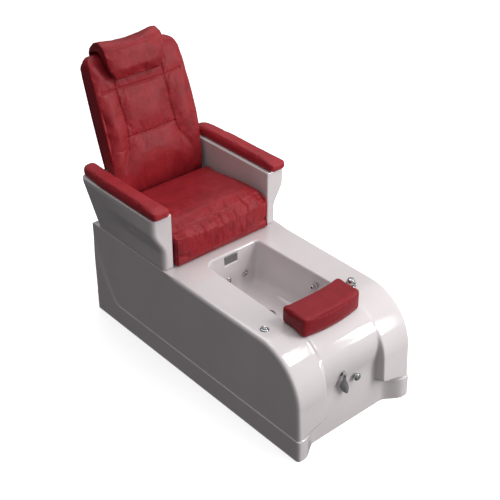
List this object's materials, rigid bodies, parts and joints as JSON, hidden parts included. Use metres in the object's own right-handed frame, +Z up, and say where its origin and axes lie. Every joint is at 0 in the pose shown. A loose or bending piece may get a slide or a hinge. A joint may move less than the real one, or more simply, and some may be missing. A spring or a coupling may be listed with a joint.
{
  "type": "pedicure spa chair",
  "caption": "Pedicure chair: a glossy foot-bath base with footrest and massage jets, carrying a sliding, reclining padded seat with armrests and a head pillow.",
  "frame": {"origin": "centre of the whole chair's bounding box in plan, on the floor under its glides", "axes": "+Z up, +X to the sitter's left, and +Y to the rear, so the sitter faces -Y"},
  "size_m": [0.76, 1.5979, 1.3327],
  "materials": {
    "gelcoat": "gloss",
    "red_leather": "satin",
    "chrome": "polished",
    "steel": "satin",
    "black_plastic": "matte",
    "hose": "satin",
    "rubber": "matte"
  },
  "bodies": {
    "base": {"base_shell": "gelcoat", "basin": "gelcoat", "rear_service_panel": "gelcoat", "power_inlet": "black_plastic", "water_inlet": "chrome", "frame_rail_left": "steel", "frame_rail_right": "steel", "frame_post_middle_left": "steel", "frame_post_middle_right": "steel", "frame_post_rear_left": "steel", "frame_post_rear_right": "steel", "foot_front_left": "rubber", "foot_front_right": "rubber", "foot_rear_left": "rubber", "foot_rear_right": "rubber", "frame_cross_front": "steel", "equipment_tray": "steel", "pump_volute": "black_plastic", "pump_motor": "steel", "suction_hose": "hose", "pressure_hose": "hose", "jet_manifold": "hose", "jet_flange_left": "chrome", "jet_flange_right": "chrome", "fill_spout": "chrome", "drain_strainer": "chrome", "drain_hose": "hose", "air_button_bezel": "chrome", "mixer_valve_collar": "chrome", "lever_rose": "chrome", "slide_rail_left": "steel", "slide_rail_right": "steel"},
    "pump_rotor": {"pump_impeller": "black_plastic"},
    "jet_nozzle_l": {"jet_nozzle_left": "chrome"},
    "jet_nozzle_r": {"jet_nozzle_right": "chrome"},
    "drain_plug": {"drain_stopper": "chrome"},
    "air_switch_button": {"air_button": "chrome"},
    "mixer_knob": {"mixer_handle": "chrome"},
    "drain_handle": {"drain_lever": "chrome"},
    "flow_control": {"flow_knob": "chrome"},
    "footrest": {"footrest_pad": "red_leather", "footrest_board": "black_plastic", "footrest_post_left": "chrome", "footrest_post_right": "chrome"},
    "chair": {"slide_runner_left": "steel", "slide_runner_right": "steel", "seat_pan": "black_plastic", "seat_cushion": "red_leather", "arm_shell_left": "gelcoat", "arm_shell_right": "gelcoat", "arm_pad_left": "red_leather", "arm_pad_right": "red_leather", "hinge_bracket_left": "steel", "hinge_bracket_right": "steel", "recline_actuator": "black_plastic"},
    "backrest": {"back_frame": "steel", "back_panel": "red_leather", "back_cushion": "red_leather"},
    "headrest": {"head_pillow": "red_leather"},
    "recline_ram": {"recline_rod": "chrome"}
  },
  "joints": [
    {"name": "seat_slide", "type": "slide", "parent": "base", "child": "chair", "axis": [0, -1, 0], "range_m": [0, 0.12]},
    {"name": "back_recline", "type": "hinge", "parent": "chair", "child": "backrest", "pos_m": [0, 0.56105, 0.6], "axis": [-1, 0, 0], "range_deg": [-10, 27]},
    {"name": "recline_ram_slide", "type": "slide", "parent": "chair", "child": "recline_ram", "axis": [0, -1, 0], "range_m": [-0.0124, 0.0334]},
    {"name": "head_pillow_lift", "type": "slide", "parent": "backrest", "child": "headrest", "axis": [0, 0.3007, 0.9537], "range_m": [0, 0.1]},
    {"name": "footrest_lift", "type": "slide", "parent": "base", "child": "footrest", "axis": [0, 0, 1], "range_m": [0, 0.06]},
    {"name": "air_button_press", "type": "slide", "parent": "base", "child": "air_switch_button", "axis": [0, 0, -1], "range_m": [0, 0.004], "stiffness_N_per_m": 500, "springref_m": -0.002},
    {"name": "mixer_turn", "type": "hinge", "parent": "base", "child": "mixer_knob", "pos_m": [0.212, -0.52695, 0.51], "axis": [0, 0, 1], "range_deg": [0, 90]},
    {"name": "drain_lever_turn", "type": "hinge", "parent": "base", "child": "drain_handle", "pos_m": [-0.052, -0.75363, 0.294], "axis": [0, 1, 0], "range_deg": [0, 60]},
    {"name": "drain_stopper_lift", "type": "slide", "parent": "base", "child": "drain_plug", "axis": [0, 0, 1], "range_m": [0, 0.01]},
    {"name": "flow_knob_turn", "type": "hinge", "parent": "base", "child": "flow_control", "pos_m": [0.032, -0.74667, 0.235], "axis": [0, -1, 0], "range_deg": [0, 180]},
    {"name": "jet_left_swivel", "type": "hinge", "parent": "base", "child": "jet_nozzle_l", "pos_m": [0.072, 0.00759, 0.352], "axis": [0, 0, 1], "range_deg": [-20, 20]},
    {"name": "jet_right_swivel", "type": "hinge", "parent": "base", "child": "jet_nozzle_r", "pos_m": [-0.028, 0.00759, 0.352], "axis": [0, 0, 1], "range_deg": [-20, 20]},
    {"name": "impeller_spin", "type": "hinge", "parent": "base", "child": "pump_rotor", "pos_m": [0.1, 0.22705, 0.165], "axis": [0, 1, 0], "continuous": true}
  ],
  "couplings": [
    {"joint": "recline_ram_slide", "follows": "back_recline", "m_per_rad": 0.0705},
    {"joint": "drain_stopper_lift", "follows": "drain_lever_turn", "m_per_rad": 0.0095}
  ]
}
